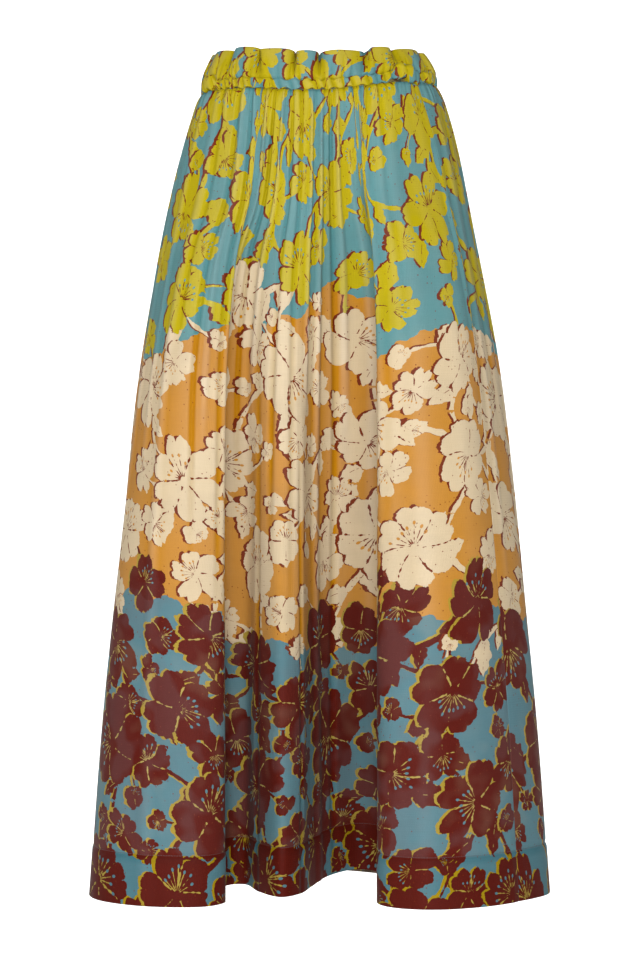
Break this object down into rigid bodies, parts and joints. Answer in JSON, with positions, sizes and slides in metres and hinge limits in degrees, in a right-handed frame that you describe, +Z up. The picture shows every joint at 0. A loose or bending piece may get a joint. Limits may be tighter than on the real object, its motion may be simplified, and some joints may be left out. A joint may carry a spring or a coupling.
{
  "type": "midi skirt",
  "caption": "Full A-line pull-on midi skirt with a gathered elastic waist, standing frill and deep turned-up hem, hollow and filled out as if worn.",
  "frame": {"origin": "centre of the waist at the casing's mean height, where the wearer holds the skirt up", "axes": "+Z up, -Y out of the skirt's front, +X to the viewer's right when the front is seen"},
  "size_m": [0.484, 0.2929, 0.8844],
  "materials": {
    "voile_print": "thin printed voile with a faint sheen",
    "waist_voile": "doubled printed voile, gathered and puckered"
  },
  "bodies": {
    "root": {"skirt_front": "voile_print", "skirt_back": "voile_print", "waist_casing": "waist_voile", "waist_frill": "waist_voile"}
  },
  "joints": []
}
